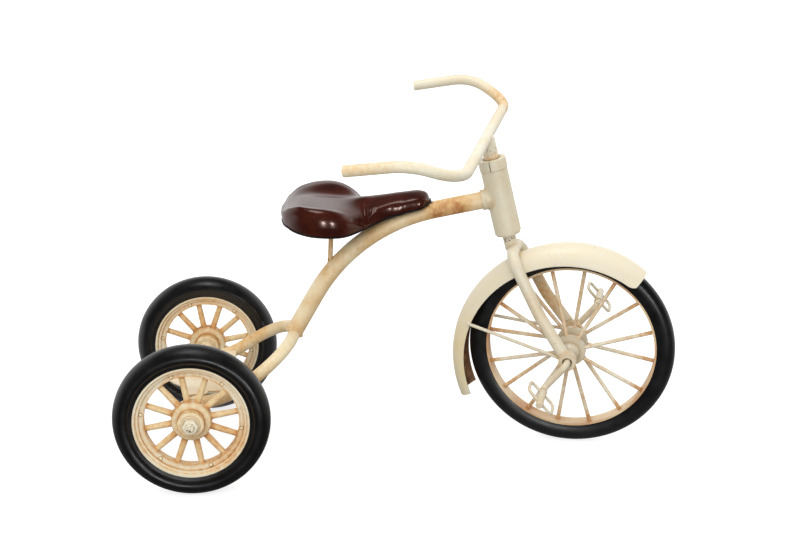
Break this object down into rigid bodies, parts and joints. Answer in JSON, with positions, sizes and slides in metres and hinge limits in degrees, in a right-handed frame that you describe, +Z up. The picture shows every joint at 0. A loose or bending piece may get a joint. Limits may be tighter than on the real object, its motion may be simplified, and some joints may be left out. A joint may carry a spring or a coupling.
{
  "type": "children's tricycle",
  "caption": "Children's tricycle with a pedalled front wheel under a deep fender, swept handlebar, bent tube frame, padded saddle and a rear step over the axle.",
  "frame": {"origin": "middle of the overall box, on the floor", "axes": "+X forward to the front wheel, +Y to the rider's left, +Z up"},
  "size_m": [0.8106, 0.5174, 0.5146],
  "materials": {
    "cream_paint": "satin cream enamel with a thin brown tint round welds",
    "aged_cream_paint": "satin cream enamel under a heavy tan age tint",
    "tyre_rubber": "smooth black rubber with a soft sheen",
    "saddle_leather": "glossy dark reddish brown",
    "pan_black": "black enamel",
    "bush_bronze": "plain turned bronze"
  },
  "bodies": {
    "frame": {"head_tube": "cream_paint", "head_collar": "cream_paint", "upper_head_bush": "bush_bronze", "lower_head_bush": "bush_bronze", "rear_yoke": "cream_paint", "axle_lug_left": "cream_paint", "axle_lug_right": "cream_paint", "step_deck": "cream_paint", "main_tube": "cream_paint", "head_ferrule": "cream_paint", "saddle_cover": "saddle_leather", "saddle_pan": "pan_black", "saddle_strut": "cream_paint", "saddle_clip": "pan_black", "rear_axle": "cream_paint", "axle_washers": "cream_paint", "axle_nuts": "cream_paint"},
    "steering": {"fork_crown": "cream_paint", "steerer": "cream_paint", "fork_blade_left": "cream_paint", "fork_blade_right": "cream_paint", "fork_bush_left": "bush_bronze", "fork_bush_right": "bush_bronze", "handlebar": "cream_paint", "bar_end_plugs": "cream_paint", "stem": "cream_paint", "front_fender": "cream_paint", "fender_boss": "cream_paint", "fender_stay_left": "cream_paint", "fender_stay_right": "cream_paint"},
    "front_wheel": {"front_tyre": "tyre_rubber", "front_rim": "aged_cream_paint", "front_spokes": "aged_cream_paint", "front_hub": "aged_cream_paint", "crank_axle": "cream_paint", "pedal_washers": "cream_paint", "pedal_caps": "cream_paint"},
    "pedal_left": {"pedal_barrel_left": "cream_paint", "pedal_cage_left": "cream_paint"},
    "pedal_right": {"pedal_barrel_right": "cream_paint", "pedal_cage_right": "cream_paint"},
    "rear_wheel_left": {"rear_tyre_left": "tyre_rubber", "rear_rim_left": "aged_cream_paint", "rim_rivets_left": "aged_cream_paint", "rear_spokes_left": "aged_cream_paint", "rear_hub_left": "aged_cream_paint", "rear_hub_bush_left": "bush_bronze"},
    "rear_wheel_right": {"rear_tyre_right": "tyre_rubber", "rear_rim_right": "aged_cream_paint", "rim_rivets_right": "aged_cream_paint", "rear_spokes_right": "aged_cream_paint", "rear_hub_right": "aged_cream_paint", "rear_hub_bush_right": "bush_bronze"}
  },
  "joints": [
    {"name": "steering", "type": "hinge", "parent": "frame", "child": "steering", "pos_m": [0.15102, -0.02334, 0.37435], "axis": [-0.225, 0, 0.9744], "range_deg": [-30.4, 59.6]},
    {"name": "front_wheel_spin", "type": "hinge", "parent": "steering", "child": "front_wheel", "pos_m": [0.25706, -0.03724, 0.15228], "axis": [0.2456, 0.9677, 0.0567], "continuous": true},
    {"name": "pedal_left_spin", "type": "hinge", "parent": "front_wheel", "child": "pedal_left", "pos_m": [0.31474, 0.05827, 0.19648], "axis": [0.2456, 0.9677, 0.0567], "continuous": true},
    {"name": "pedal_right_spin", "type": "hinge", "parent": "front_wheel", "child": "pedal_right", "pos_m": [0.19938, -0.13275, 0.10808], "axis": [0.2456, 0.9677, 0.0567], "continuous": true},
    {"name": "rear_wheel_left_spin", "type": "hinge", "parent": "frame", "child": "rear_wheel_left", "pos_m": [-0.29561, 0.13566, 0.1097], "axis": [0, 1, 0], "continuous": true},
    {"name": "rear_wheel_right_spin", "type": "hinge", "parent": "frame", "child": "rear_wheel_right", "pos_m": [-0.29561, -0.18234, 0.1097], "axis": [0, 1, 0], "continuous": true}
  ]
}
